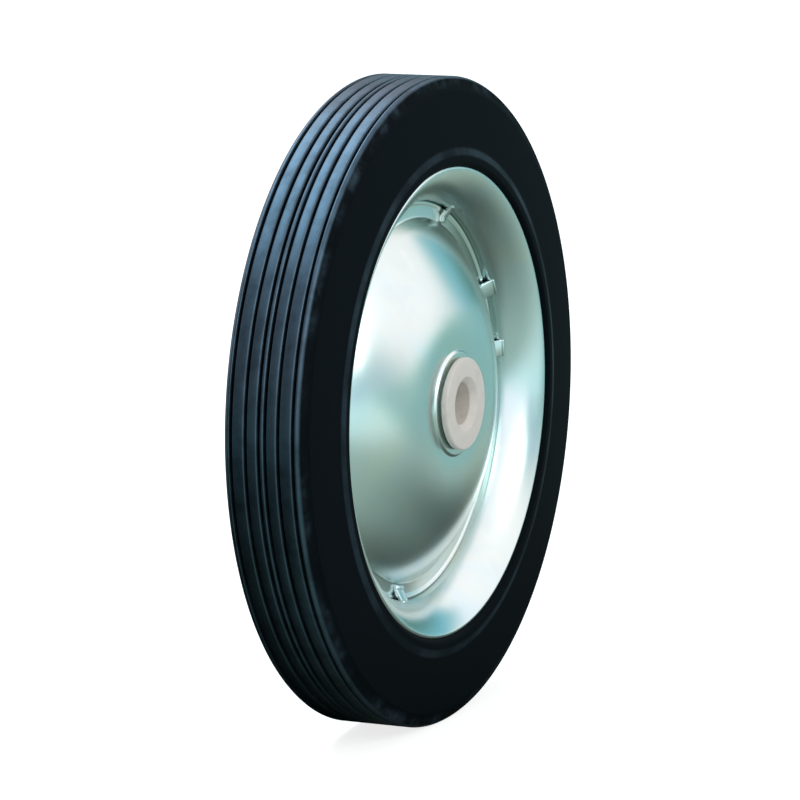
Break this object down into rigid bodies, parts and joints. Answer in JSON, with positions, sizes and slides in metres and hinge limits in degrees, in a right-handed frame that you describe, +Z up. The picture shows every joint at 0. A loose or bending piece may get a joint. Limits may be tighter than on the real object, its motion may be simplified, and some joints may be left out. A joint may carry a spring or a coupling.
{
  "type": "solid rubber wheel",
  "caption": "Solid rubber wheel with a grooved tyre, a plated pressed-steel channel rim, domed steel discs and nylon bushes for a plain axle.",
  "frame": {"origin": "centre of the wheel, on the axle line in the middle plane of the tyre", "axes": "+Y along the axle towards the rear of the wheel, +Z up; the front, which the picture shows, faces -Y; the wheel spins about Y"},
  "size_m": [0.3048, 0.06, 0.3048],
  "materials": {
    "tyre": "matt moulded rubber",
    "plated_steel": "bright zinc plate",
    "nylon": "matt moulded"
  },
  "bodies": {
    "root": {"tyre": "tyre", "rim": "plated_steel", "front_disc": "plated_steel", "rear_disc": "plated_steel", "hub_tube": "plated_steel", "front_bush": "nylon", "rear_bush": "nylon"}
  },
  "joints": []
}
